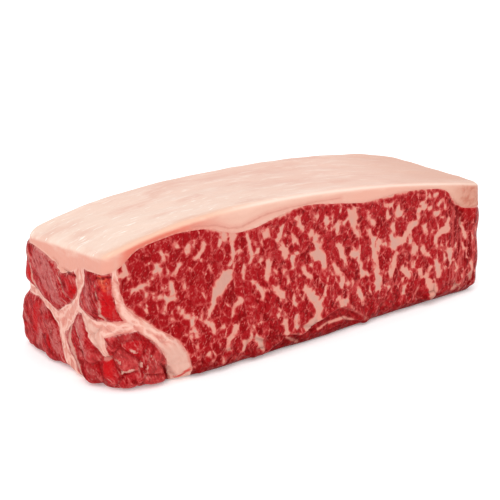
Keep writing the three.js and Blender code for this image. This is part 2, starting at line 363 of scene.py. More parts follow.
def addRelief(points, normals):
    x, y, z = points.T
    frontFace = smooth(-normals[:, 1], 0.35, 0.8)
    endFace = smooth(-normals[:, 0], 0.35, 0.8)
    topFace = smooth(normals[:, 2], 0.5, 0.9)
    leanTop = leanHeight(x, y)
    inLean = smooth(leanTop - z, -0.5, 1.5)
    push = relief["soft"] * noiseAt(points, (14, 14, 12), 1)
    push += relief["lobes"] * frontFace * inLean * noiseAt(points, (4.4, 30, 5.6), 2)
    push += relief["capWaves"] * topFace * noiseAt(points, (34, 9, 20), 3)
    push += relief["capGrain"] * topFace * noiseAt(points, (11, 3, 9), 4)
    # Grooves where fat and lean meet, and along the membrane
    borderX = through([(row[1], row[0]) for row in mainSeam[::-1]], z)
    halfSeam = through([(row[1], row[2]) for row in mainSeam[::-1]], z)
    seamEdge = np.abs(np.abs(x - seamShift(y, z) - borderX) - halfSeam * 1.2)
    border = np.minimum(np.abs(z - leanTop), np.where(inLean > 0.5, seamEdge, 99))
    push -= relief["borderGroove"] * frontFace * smooth(border, 1.3, 0.1)
    push -= relief["membraneGroove"] * frontFace * smooth(membraneDistance(x, z), 0.8, 0)
    # Fibres and creases of the trimmed end
    alongFibre = np.column_stack((x, 0.78 * y - 0.62 * z, 0.62 * y + 0.78 * z))
    fibres = noiseAt(alongFibre, (30, 1.7, 11), 5)
    push += relief["fibres"] * endFace * inLean * fibres
    push += relief["bulge"] * endFace * inLean * smooth(endSeamDistance(y, z), 0, 5)
    push += relief["endLumps"] * endFace * inLean * noiseAt(alongFibre, (30, 4.2, 9), 7)
    for crease in endCreases:
        push -= relief["creaseDepth"] * endFace * smooth(lineDistance(crease, y, z), 1.3, 0)
    # Gobs of lean: strong round the near corner, soft along the foot and on the rest of the trimmed end
    inGob = lumpsAt(points, relief["gobSize"])[0]
    rounded = 1 - (1 - np.clip(inGob / 0.45, 0, 1)) ** 2
    corner = smooth(z, 36, 26) * smooth(x, -72, -82) * smooth(y, -8, -22)
    lowEnd = 0.45 * endFace * smooth(z, 30, 14)
    alongFoot = 0.85 * frontFace * smooth(z, 14, 5)
    push += relief["gobs"] * np.max([corner, lowEnd, alongFoot], axis=0) * (rounded - 0.6)
    # Scallops of the foot, and the membrane drawn in below the fold
    foot = smooth(z, 14, 3)
    push += relief["baseScallops"] * foot * np.maximum(frontFace, endFace) * noiseAt(points, (6.5, 6.5, 9), 6)
    push -= relief["lipDepth"] * frontFace * inVeil(x, z)
    push += relief["ledge"] * frontFace * inVeil(x, z - 2.2) * (1 - inVeil(x, z))
    push -= relief["notch"] * frontFace * smooth(lineDistance(notchLine, x, z), 2.2, 0)
    push -= relief["rightCrease"] * frontFace * smooth(lineDistance(rightCrease, x, z), 2.4, 0)
    push += relief["knob"] * frontFace * smooth(lineDistance(knobPlace, x, z), 5, 0)
    moved = points + normals * push[:, None]
    # The lower rim is drawn up here and there, which leaves shaded notches
    rim = smooth(np.hypot(normals[:, 0], normals[:, 1]), 0.15, 0.6) * smooth(z, 8, 1)
    notch = np.clip(0.35 + noiseAt(points, (7.5, 7.5, 30), 11), 0, 1)
    moved[:, 2] += relief["footLift"] * rim * (notch + smooth(x, 40, 100))
    return moved


def steakBlock():
    piece = gridBox("steakBlock", (2 * halfLength, 2 * halfDepth, height), block["cells"])
    points = getPoints(piece.data)
    points[:, 2] += height / 2
    setPoints(piece.data, shapedPoints(points))
    setPoints(piece.data, addRelief(getPoints(piece.data), getNormals(piece.data)))
    return piece


# Everything above the lean, as one slab that is larger than the block all round
def capSlab():
    slab = gridBox("capSlab", (2 * (halfLength + overshoot), 2 * (halfDepth + overshoot), 1), (260, 60, 1))
    points = getPoints(slab.data) + (middleX, middleY, 0)
    under = leanHeight(points[:, 0], points[:, 1]) + relief["underside"] * noiseAt(points, (5, 9, 5), 8)
    points[:, 2] = np.where(points[:, 2] < 0, under, 2 * height)
    setPoints(slab.data, points)
    return slab


# Places along a seam, 0 to 1 from its first row: the middle, the direction across it and its half width
def stations(line, t):
    rows = [(i, *row) for i, row in enumerate(line)]
    place = t * (len(line) - 1)
    middle = np.column_stack((through(rows, place, 1), through(rows, place, 2)))
    ahead = np.column_stack((
        through(rows, place + 0.1, 1) - through(rows, place - 0.1, 1),
        through(rows, place + 0.1, 2) - through(rows, place - 0.1, 2),
    ))
    ahead /= np.linalg.norm(ahead, axis=1)[:, None]
    return middle, np.column_stack((-ahead[:, 1], ahead[:, 0])), through(rows, place, 3)


# The sheet of fat that runs from the cut face to the back
def mainSeamSheet():
    sheet = gridBox("mainSeamSheet", (1, 1, 1), (1, 40, 90))
    x, y, z = getPoints(sheet.data).T
    middle, across, half = stations(mainSeam, 0.5 - z)
    placeY = mix(block["frontY"] - overshoot, block["backY"] + overshoot, y + 0.5)
    wander = relief["sheetWander"] * noiseAt(np.column_stack((x * 40, placeY, middle[:, 1])), (9, 16, 3.8), 9)
    aside = across * (2 * x * (half + wander))[:, None]
    placeX = middle[:, 0] + aside[:, 0] + seamShift(placeY, middle[:, 1])
    setPoints(sheet.data, np.column_stack((placeX, placeY, middle[:, 1] + aside[:, 1])))
    return sheet


# One strip of fat let into the trimmed end
def endSeamStrip(depth, line):
    strip = gridBox("endSeamStrip", (1, 1, 1), (1, 1, 70))
    x, y, z = getPoints(strip.data).T
    middle, across, half = stations(line, 0.5 - z)
    wander = relief["stripWander"] * noiseAt(np.column_stack((y * 40, middle)), (9, 4, 4), 10)
    aside = across * (2 * y * (half + wander))[:, None]
    placeX = np.where(x > 0, block["leftX"] + depth, block["leftX"] - overshoot)
    setPoints(strip.data, np.column_stack((placeX, middle[:, 0] + aside[:, 0], middle[:, 1] + aside[:, 1])))
    return strip


def looseParts(piece):
    bm = bmesh.new()
    bm.from_mesh(piece.data)
    bm.verts.ensure_lookup_table()
    part = [-1] * len(bm.verts)
    count = 0
    for start in bm.verts:
        if part[start.index] >= 0:
            continue
        part[start.index] = count
        waiting = [start]
        while waiting:
            for edge in waiting.pop().link_edges:
                for vert in edge.verts:
                    if part[vert.index] < 0:
                        part[vert.index] = count
                        waiting.append(vert)
        count += 1
    bm.free()
    return np.array(part), count


def keepPart(piece, name, part, wanted):
    twin = copyOf(piece, name)
    bm = bmesh.new()
    bm.from_mesh(twin.data)
    bm.verts.ensure_lookup_table()
    extra = [bm.verts[int(i)] for i in np.nonzero(part != wanted)[0]]
    bmesh.ops.delete(bm, geom=extra, context="VERTS")
    bm.to_mesh(twin.data)
    bm.free()
    return twin


print("Shaping the block")
whole = steakBlock()
fatRegion = capSlab()
cutters = [mainSeamSheet()] + [endSeamStrip(depth, line) for depth, line in endSeams]
for cutter in cutters:
    carve(fatRegion, cutter, "UNION")
print("Parting fat and lean")
fatPiece = carve(copyOf(whole, "fatCapAndSeam"), fatRegion, "INTERSECT")
leanPiece = carve(copyOf(whole, "lean"), fatRegion, "DIFFERENCE")
partOf, partCount = looseParts(leanPiece)
partSizes = [int((partOf == i).sum()) for i in range(partCount)]
order = sorted(range(partCount), key=lambda i: -partSizes[i])
print("Lean parts", partSizes)
eyePiece = keepPart(leanPiece, "eyeMuscle", partOf, order[0])
endPiece = keepPart(leanPiece, "endMuscles", partOf, order[1])
for spare in [whole, fatRegion, leanPiece] + cutters:
    bpy.data.objects.remove(spare)

# Main flecks of fat on the cut face, read off the photograph: pixel column, row and width of each place
fleckPixels = {
    "near the trimmed end": [
        [(122.8, 261.4, 2), (122, 270, 6), (122, 274, 9), (117, 278, 1.6)],
        [(123, 274, 4), (126.4, 280, 1.5)],
        [(159.8, 249, 3), (160.8, 260.7, 4), (156.3, 266, 6), (150.6, 279, 2)],
        [(157, 268, 4), (159.5, 274, 3), (164, 278, 4), (167, 273, 2)],
        [(179.3, 263.3, 3), (172.9, 274, 4.5)], [(175.5, 244, 3), (175.5, 247.5, 3)],
        [(186.3, 244, 3), (185.7, 252.4, 4)],
        [(129.5, 292.6, 3), (139.7, 287.5, 4), (144, 296.4, 3)], [(140, 288, 3), (146, 286, 2)],
        [(170, 283.7, 3), (170.4, 295, 7), (166.5, 300.3, 5), (154.4, 297.7, 2)],
        [(168, 299, 5), (177.4, 300, 2)], [(166, 300, 5), (162, 308, 1)],
        [(138.5, 308.5, 4), (144.2, 312.4, 3)], [(184.4, 281, 3), (184.4, 288, 3)],
        [(178.4, 310, 3), (182.3, 316, 4), (190.6, 322.3, 5), (192.5, 330, 4), (195.7, 338.3, 2)],
    ],
    "left of the middle": [
        [(232, 231, 8), (232.7, 244, 5), (232, 256.5, 3.5), (228.3, 269, 3), (222, 277, 6)],
        [(222, 277, 8), (227, 276, 11), (220, 285, 11), (214.5, 294, 9), (211, 305.5, 4), (204, 323.4, 2)],
        [(224.4, 234.8, 6), (221.9, 241, 7), (216.8, 247, 3)],
        [(202.8, 242, 3), (201.5, 251.4, 4), (193.8, 259.7, 3)],
        [(246, 235.5, 2), (248.7, 244, 3.5), (251, 253, 4), (250, 264, 2)],
        [(253.8, 244.4, 2), (257, 253, 4), (260, 261, 3)], [(238.5, 252.7, 4), (238.5, 259, 3)],
        [(260, 232, 3), (266.5, 237.4, 5), (267, 230.4, 2)],
        [(282.5, 227, 3), (281, 234, 5), (276.7, 241, 3)], [(279.3, 246, 3), (285, 256.5, 5)],
        [(269, 256, 3), (267.8, 263, 5), (266.5, 279.5, 4)], [(244, 267, 2), (242.3, 279.5, 3)],
        [(205, 324.6, 2), (211, 327, 5), (214, 333, 4)], [(224.4, 323.4, 3), (221.9, 330.4, 3)],
        [(239.7, 301.7, 5), (234.6, 307.4, 3), (230.8, 317, 1.5)],
        [(252, 283, 2), (260, 290, 5), (262.7, 299, 3)],
        [(272.3, 286.4, 4), (278, 292.8, 6), (284.4, 299.8, 5)],
        [(271, 316.4, 2), (283, 317.6, 4), (284.4, 324.6, 5), (286.3, 336, 4)],
        [(235.3, 329, 6), (229.5, 340.6, 5), (228.3, 351.4, 4), (222, 364, 2)],
        [(253, 329, 2), (251, 339, 3), (244.8, 344, 5), (244, 351.4, 4)],
        [(255.7, 339, 4), (260, 344, 6), (261.4, 351.4, 4)], [(208, 356.5, 4), (211, 363, 3)],
    ],
    "middle": [
        [(313.5, 213.5, 4), (315.5, 217, 5)], [(297, 219.5, 4), (299, 224, 4), (303, 230, 2)],
        [(326, 219, 4), (327.5, 223.5, 4)], [(338.5, 226.5, 7), (338.5, 230, 7)],
        [(342, 226, 2), (348, 219, 2)],
        [(350, 211, 4), (354, 214, 9), (353.5, 221, 8), (356, 230, 3), (358, 236, 3)],
        [(310.5, 226, 2), (311.5, 235, 5), (317, 240, 6), (318, 249, 4.6)],
        [(312, 254, 3.4), (318, 256, 10), (323, 258, 6), (324, 267, 4)], [(312, 257, 2.5), (311, 268, 2)],
        [(293.5, 235, 3), (297, 245, 2.5)], [(370, 218, 3), (374, 224, 3)],
        [(370, 232, 3), (375, 240, 4), (379, 250, 4)],
        [(280, 244, 3), (286, 252, 4), (286, 257, 2)], [(297, 254, 3), (291, 259, 4), (291.5, 269, 2.5)],
        [(303, 270, 4), (307, 274, 5), (310.5, 279, 3), (309.5, 285, 2.2)],
        [
            (310, 285, 2), (306, 290, 5), (310, 295, 8), (316, 302, 7), (319, 311, 7), (318, 320, 6),
            (312, 325, 8.6),
        ],
        [(312, 325, 8.6), (306, 330, 4.6)], [(320, 304, 3), (324.5, 298, 2), (326, 288, 2)],
        [(339, 245, 5), (343, 256, 5), (345, 266, 3.6)],
        [(334, 266, 2), (338, 274, 4), (343, 283, 6), (341, 287, 5)], [(343, 283, 4), (348, 285, 2)],
        [(353, 255, 5), (358, 255, 5), (360, 248, 2)], [(360, 260, 4), (362, 266, 3), (363, 276, 5)],
        [(363, 276, 4), (368, 275, 3)], [(358, 290, 2), (361, 296, 6), (363, 299, 4)],
        [(340, 301, 4), (342, 306, 6), (348, 302, 3)], [(295, 299, 4), (295, 306, 4)],
        [(296, 318, 4), (297, 330, 4)], [(281, 293, 5), (283, 299, 4)], [(283, 272, 3), (287, 283, 3)],
    ],
    "right of the middle": [
        [(374, 241, 6), (376, 255, 5), (377, 268, 4), (378, 282, 8), (378, 289, 6)],
        [(388, 204.5, 4), (392, 204.5, 4)], [(399, 208, 4), (400, 213, 7), (404, 217, 2)],
        [(387, 212, 3), (389, 217, 4)],
        [(393, 223, 3), (393, 230, 5), (392, 237, 5), (394, 245, 6)], [(423, 204, 4), (425, 207, 5)],
        [(420, 211, 4), (419, 219, 2)], [(378, 243, 5), (384, 245, 3.6), (388, 245, 1.5)],
        [(416, 224, 6), (411, 228, 5), (410, 233, 5), (404, 239, 7), (395, 245, 8.6), (389, 243, 2.4)],
        [(412, 245, 4), (416, 251, 7)], [(409, 236, 4.4), (412, 245, 3.8)],
        [(426, 227, 4), (428, 231, 5)], [(437, 213, 5), (439, 214, 4)], [(430, 196, 2), (427, 199, 2)],
        [(438, 194, 2), (434, 197, 3)], [(444, 201, 2), (440, 204, 3)], [(448, 202, 2), (447, 207, 3)],
        [(433, 205, 1.5), (430, 210, 3)],
        [(450, 219, 2), (448, 229, 6), (443, 231, 4.6), (436, 238, 2), (434, 233, 2)],
        [(436, 239, 3), (438, 247, 3)], [(424, 250, 5), (427, 253, 4), (430, 256, 2)],
        [(437, 262, 3), (439, 268, 5), (440, 276, 4)],
        [(397, 255, 3), (395, 262, 4), (392, 272, 5), (390, 280, 4), (389, 288, 3)],
        [(402, 268, 3), (406, 272, 6), (410, 277, 3)], [(447, 252, 3.6), (451, 252, 4.8), (452, 264, 2)],
        [(446, 254, 2), (446, 263, 2)], [(415, 263, 4), (415, 267, 3)], [(428, 276, 3), (432, 268, 2)],
        [(421, 272, 4), (423, 277, 3)], [(404, 281, 2), (404, 287, 5), (404, 294, 3)],
        [(463, 220, 1.5), (466, 231, 3), (468, 240, 2.4)], [(465, 244, 1.3), (466, 252, 1.6)],
        [(472, 263, 2.2), (472, 271, 3.6), (471, 278, 3.6)], [(457, 245, 1.5), (456, 254, 1.5)],
        [(461, 265, 1.5), (457, 272, 1.5)], [(453, 290, 2), (456, 287, 3.6), (460, 286, 2)],
        [(426, 277, 1.4), (429, 283, 5), (432, 290, 8.6), (432, 299, 6.4)],    # the knob at the foot
    ],
}


# Where the camera looks through a pixel at the cut face: x and z in millimetres
def onCutFace(column, row):
    across = (column / photo["pixels"] - 0.5) * photo["sensor"]
    upward = (0.5 - row / photo["pixels"]) * photo["sensor"]
    turn = Euler((radians(90 - photo["pitch"]), 0, radians(photo["turn"]))).to_matrix()
    rayX, rayY, rayZ = turn @ Vector((across, upward, -photo["lens"]))
    cameraX, cameraY, cameraZ = np.array(photo["cameraPlace"]) * 1000 + block["centre"]
    x, z = middleX, height / 2
    for i in range(6):
        steps = (block["frontY"] - bellyDepth(x, z) - cameraY) / rayY
        x, z = cameraX + steps * rayX, cameraZ + steps * rayZ
    return x, z


# One place of a fleck: x, z and width in millimetres
def fleckPlace(column, row, width):
    leftX, rightX = onCutFace(column - width / 2, row)[0], onCutFace(column + width / 2, row)[0]
    return *onCutFace(column, row), rightX - leftX


mainFlecks = [[fleckPlace(*place) for place in fleck] for group in fleckPixels.values() for fleck in group]
# The random flecks: how many, and between which widths
fleckRule = {"seed": 12, "small": (230, (0.6, 1.3)), "back": (260, (0.8, 4.2)), "slope": 0.16, "fuller": 0.3}


# A random fleck: a body with one to three thin arms, most of them near upright
def randomFleck(dice, size):
    x = dice.uniform(block["leftX"] + 8, block["rightX"] - 4)
    z = dice.uniform(1, 66)
    arms = []
    for arm in range(dice.choice((1, 2, 2, 3))):
        angle = radians(dice.gauss(90, 28) + 180 * arm)
        reach = size * dice.uniform(1, 2.6)
        tip = (x + reach * np.cos(angle), z + reach * np.sin(angle), 0.25 * size)
        arms.append([(x, z, size), tip])
    return arms


# Millimetres to the nearest of some lines of (a, b, width) rows, negative inside one
def nearestOf(lines, a, b):
    nearest = np.full(len(a), np.inf)
    for rows in lines:
        halved = [(rowA, rowB, width / 2) for rowA, rowB, width in rows]
        nearest = np.minimum(nearest, lineDistance(halved, a, b))
    return nearest


# The main and the small flecks reach in from the cut face, and the others from the back
def fleckDistance(points):
    x, y, z = points.T
    dice = random.Random(fleckRule["seed"])
    small, back = [
        [arm for i in range(count) for arm in randomFleck(dice, dice.uniform(*sizes))]
        for count, sizes in (fleckRule["small"], fleckRule["back"])
    ]
    front = np.minimum(nearestOf(mainFlecks, x, z) - fleckRule["fuller"], nearestOf(small, x, z))
    fromFront = np.maximum(0, y - block["frontY"] - 1)
    fromBack = np.maximum(0, block["backY"] - 1 - y)
    slope = fleckRule["slope"]
    return np.minimum(front + slope * fromFront, nearestOf(back, x, z) + slope * fromBack)


# Distance from the lean's edge, under the cap or beside the main seam
def borderDistance(points):
    x, y, z = points.T
    besideSeam = lineDistance(mainSeam, x - seamShift(y, z), z)
    underCap = leanHeight(x, y) - z + 9 * smooth(x, -58, -74)
    return np.minimum(underCap, besideSeam)


def setAttribute(piece, name, values):
    layer = piece.data.attributes.new(name, "FLOAT", "POINT")
    layer.data.foreach_set("value", np.asarray(values, np.float32))


# Material helpers: a value is either a number, a colour or another node's socket
def colour(code):
    parts = [int(code[i:i + 2], 16) / 255 for i in (0, 2, 4)]
    return [p / 12.92 if p <= 0.04045 else ((p + 0.055) / 1.055) ** 2.4 for p in parts] + [1]


def feed(tree, socket, value):
    if isinstance(value, bpy.types.NodeSocket):
        tree.links.new(value, socket)
    else:
        socket.default_value = value


def newMaterial(name):
    material = bpy.data.materials.new(name)
    material.use_nodes = True
    return material, material.node_tree, material.node_tree.nodes["Principled BSDF"]


def maths(tree, operation, first, second=0.0, third=0.0, clamp=False):
    node = tree.nodes.new("ShaderNodeMath")
    node.operation = operation
    node.use_clamp = clamp
    for socket, value in zip(node.inputs, (first, second, third)):
        feed(tree, socket, value)
    return node.outputs[0]


def times(tree, first, second):
    return maths(tree, "MULTIPLY", first, second)


def timesPlus(tree, first, second, third, clamp=False):
    return maths(tree, "MULTIPLY_ADD", first, second, third, clamp)


def minus(tree, first, second):
    return maths(tree, "SUBTRACT", first, second)


def blendNumbers(tree, factor, first, second):
    return timesPlus(tree, factor, minus(tree, second, first), first)


def remap(tree, value, fromLow, fromHigh, toLow=0.0, toHigh=1.0):
    node = tree.nodes.new("ShaderNodeMapRange")
    node.interpolation_type = "SMOOTHSTEP"
    for name, setting in zip(("Value", "From Min", "From Max", "To Min", "To Max"),
                             (value, fromLow, fromHigh, toLow, toHigh)):
        feed(tree, node.inputs[name], setting)
    return node.outputs["Result"]


def blendColours(tree, factor, first, second):
    node = tree.nodes.new("ShaderNodeMix")
    node.data_type = "RGBA"
    feed(tree, node.inputs[0], factor)
    feed(tree, node.inputs[6], first)
    feed(tree, node.inputs[7], second)
    return node.outputs[2]


def tint(tree, below, code, factor):
    return blendColours(tree, factor, below, colour(code))


def attribute(tree, name):
    node = tree.nodes.new("ShaderNodeAttribute")
    node.attribute_name = name
    return node.outputs["Fac"]


# Object coordinates in units of the given sizes, in millimetres, after a turn about Y and X in degrees
def placeIn(tree, sizes, turnY=0, turnX=0, wander=None):
    source = tree.nodes.new("ShaderNodeTexCoord").outputs["Object"]
    if wander is not None:
        shifted = tree.nodes.new("ShaderNodeVectorMath")
        tree.links.new(source, shifted.inputs[0])
        tree.links.new(wander, shifted.inputs[1])
        source = shifted.outputs[0]
    turned = tree.nodes.new("ShaderNodeMapping")
    turned.inputs["Rotation"].default_value = (radians(turnX), radians(turnY), 0)
    tree.links.new(source, turned.inputs["Vector"])
    sized = tree.nodes.new("ShaderNodeMapping")
    sized.inputs["Scale"].default_value = [1000 / size for size in sizes]
    tree.links.new(turned.outputs[0], sized.inputs["Vector"])
    return sized.outputs[0]


def noiseField(tree, place, detail=2, rough=0.5):
    node = tree.nodes.new("ShaderNodeTexNoise")
    node.inputs["Scale"].default_value = 1
    node.inputs["Detail"].default_value = detail
    node.inputs["Roughness"].default_value = rough
    tree.links.new(place, node.inputs["Vector"])
    return node.outputs["Fac"]


# A small shift in metres, different from place to place
def wanderField(tree, size, reach):
    node = tree.nodes.new("ShaderNodeTexNoise")
    node.inputs["Scale"].default_value = 1
    node.inputs["Detail"].default_value = 2
    tree.links.new(placeIn(tree, (size, size * 4, size)), node.inputs["Vector"])
    centred = tree.nodes.new("ShaderNodeVectorMath")
    centred.operation = "SUBTRACT"
    tree.links.new(node.outputs["Color"], centred.inputs[0])
    centred.inputs[1].default_value = (0.5, 0.5, 0.5)
    scaled = tree.nodes.new("ShaderNodeVectorMath")
    scaled.operation = "SCALE"
    tree.links.new(centred.outputs[0], scaled.inputs[0])
    scaled.inputs["Scale"].default_value = reach / 1000
    return scaled.outputs[0]


def cellField(tree, place, feature="F1"):
    node = tree.nodes.new("ShaderNodeTexVoronoi")
    node.feature = feature
    node.inputs["Scale"].default_value = 1
    tree.links.new(place, node.inputs["Vector"])
    return node


def bump(tree, shader, heights, distance):
    node = tree.nodes.new("ShaderNodeBump")
    node.inputs["Distance"].default_value = distance / 1000
    feed(tree, node.inputs["Height"], heights)
    tree.links.new(node.outputs["Normal"], shader.inputs["Normal"])


leanLook = {
    "deep": "760003", "red": "a01319", "pale": "c04c4b", "glint": "e0766e", "blush": "c04d49",
    "rich": "95040b", "vivid": "bd0c12", "drawn": "cb6a62", "foot": "6a0407",
    "fatEdge": "cf766a", "fat": "d79281", "fatMiddle": "c89688",
    "lobe": (4.3, 16, 5.3), "rough": 0.36, "gloss": 0.04,
}


def marbledLean():
    look = leanLook
    material, tree, shader = newMaterial("marbledLean")
    lobePlace = placeIn(tree, look["lobe"], wander=wanderField(tree, 2, 1.7))
    lobe = cellField(tree, lobePlace)
    edge = cellField(tree, lobePlace, "DISTANCE_TO_EDGE").outputs["Distance"]
    ragged = noiseField(tree, placeIn(tree, (1.5, 7, 1.8)), 3, 0.65)
    # Fat reaches further in between the lobes than on them, in millimetres
    reach = timesPlus(tree, edge, -4.6, -0.12)
    reach = timesPlus(tree, ragged, 1.3, reach)
    inside = minus(tree, reach, attribute(tree, "fleck"))
    patches = noiseField(tree, placeIn(tree, (3.1, 15, 4.8)), 3, 0.6)
    spots = maths(tree, "ADD", timesPlus(tree, patches, 14, -9.7), reach)
    patchy = noiseField(tree, placeIn(tree, (13, 40, 16)), 1)
    band = timesPlus(tree, patchy, 4, timesPlus(tree, reach, 0.6, -1.5))
    band = minus(tree, band, attribute(tree, "border"))
    inside = maths(tree, "MAXIMUM", inside, maths(tree, "MAXIMUM", spots, band))
    inside = timesPlus(tree, attribute(tree, "veil"), -4, inside)
    veilFat = minus(tree, times(tree, ragged, 1.3), attribute(tree, "thread"))
    inside = maths(tree, "MAXIMUM", inside, veilFat)
    fatMask = remap(tree, inside, -0.1, 0.45)
    tone = noiseField(tree, placeIn(tree, (9, 30, 11)), 2)
    mottle = noiseField(tree, placeIn(tree, (1.7, 9, 2.2)), 3, 0.65)
    upright = noiseField(tree, placeIn(tree, (1.5, 8, 13), turnY=-6), 3, 0.6)
    shade = timesPlus(tree, tone, 0.3, times(tree, mottle, 0.75))
    shade = timesPlus(tree, lobe.outputs["Color"], 0.2, shade)
    grained = timesPlus(tree, upright, 1.5, -0.2)
    byGrain = times(tree, attribute(tree, "grain"), 0.8)
    shade = blendNumbers(tree, byGrain, shade, grained)
    lean = tint(tree, colour(look["deep"]), look["red"], remap(tree, shade, 0.46, 0.68))
    lean = tint(tree, lean, look["pale"], remap(tree, shade, 0.68, 0.88, 0.0, 0.8))
    lean = tint(tree, lean, look["rich"], attribute(tree, "rich"))
    # Between the lobes: painted shade in the clefts, and in places fine threads of fat
    cleftShadeAndThreads = times(tree, remap(tree, edge, 0.13, 0.01), remap(tree, ragged, 0.36, 0.6, 0.05, 0.8))
    cleftShadeAndThreadTone = tint(tree, colour(look["deep"]), look["blush"], remap(tree, patches, 0.4, 0.52))
    lean = blendColours(tree, cleftShadeAndThreads, lean, cleftShadeAndThreadTone)
    lean = tint(tree, lean, look["blush"], remap(tree, inside, -0.9, 0, 0.0, 0.7))
    # Painted glints: pale slanted strokes that stand in for wet highlights on the lobes
    glintStrokes = noiseField(tree, placeIn(tree, (0.8, 6, 1.9), turnY=-32), 2)
    glintStrokes = times(tree, remap(tree, glintStrokes, 0.55, 0.68), remap(tree, ragged, 0.4, 0.56))
    lean = tint(tree, lean, look["glint"], times(tree, glintStrokes, 0.55))
    drawn = times(tree, remap(tree, upright, 0.5, 0.66, 0.0, 0.42), attribute(tree, "grain"))
    lean = tint(tree, lean, look["drawn"], drawn)
    veiled = tint(tree, colour(look["deep"]), look["red"], remap(tree, ragged, 0.4, 0.62))
    lean = blendColours(tree, times(tree, attribute(tree, "veil"), 0.65), lean, veiled)
    wedge = remap(tree, timesPlus(tree, mottle, -3, attribute(tree, "wedge")), -0.4, -3.2, 0.0, 0.35)
    lean = tint(tree, lean, look["vivid"], wedge)
    fat = tint(tree, colour(look["fatEdge"]), look["fat"], remap(tree, inside, 0.2, 1))
    greyish = times(tree, remap(tree, inside, 0.5, 1.4), remap(tree, tone, 0.4, 0.6, 0.3, 1.0))
    fat = tint(tree, fat, look["fatMiddle"], greyish)
    shown = blendColours(tree, fatMask, lean, fat)
    # The underside of the foot, and the creases, lie in the shade of their own folds
    lowTone = times(tree, attribute(tree, "low"), remap(tree, mottle, 0.35, 0.6, 0.95, 0.6))
    shown = tint(tree, shown, look["foot"], lowTone)
    dark = timesPlus(tree, ragged, 0.8, attribute(tree, "crease"))
    shown = tint(tree, shown, look["foot"], remap(tree, dark, 1.0, 0.4, 0.0, 0.6))
    feed(tree, shader.inputs["Base Color"], shown)
    shader.inputs["Roughness"].default_value = look["rough"]
    shader.inputs["Specular IOR Level"].default_value = look["gloss"]
    lobes = timesPlus(tree, mottle, 0.35, times(tree, remap(tree, edge, 0, 0.3), 0.4))
    lobes = times(tree, lobes, timesPlus(tree, fatMask, -0.75, 1.0))
    bump(tree, shader, timesPlus(tree, fatMask, 0.12, lobes), 0.55)
    return material


endLook = {
    "deep": "860106", "red": "b01c22", "light": "cc5a56", "bright": "bf0a12", "dull": "c0605d",
    "streak": "d18c82", "fat": "d39b8c", "tip": "d24a38", "peach": "eba183", "crease": "6a080b",
    "slant": 38, "rough": 0.38, "gloss": 0.05,
}


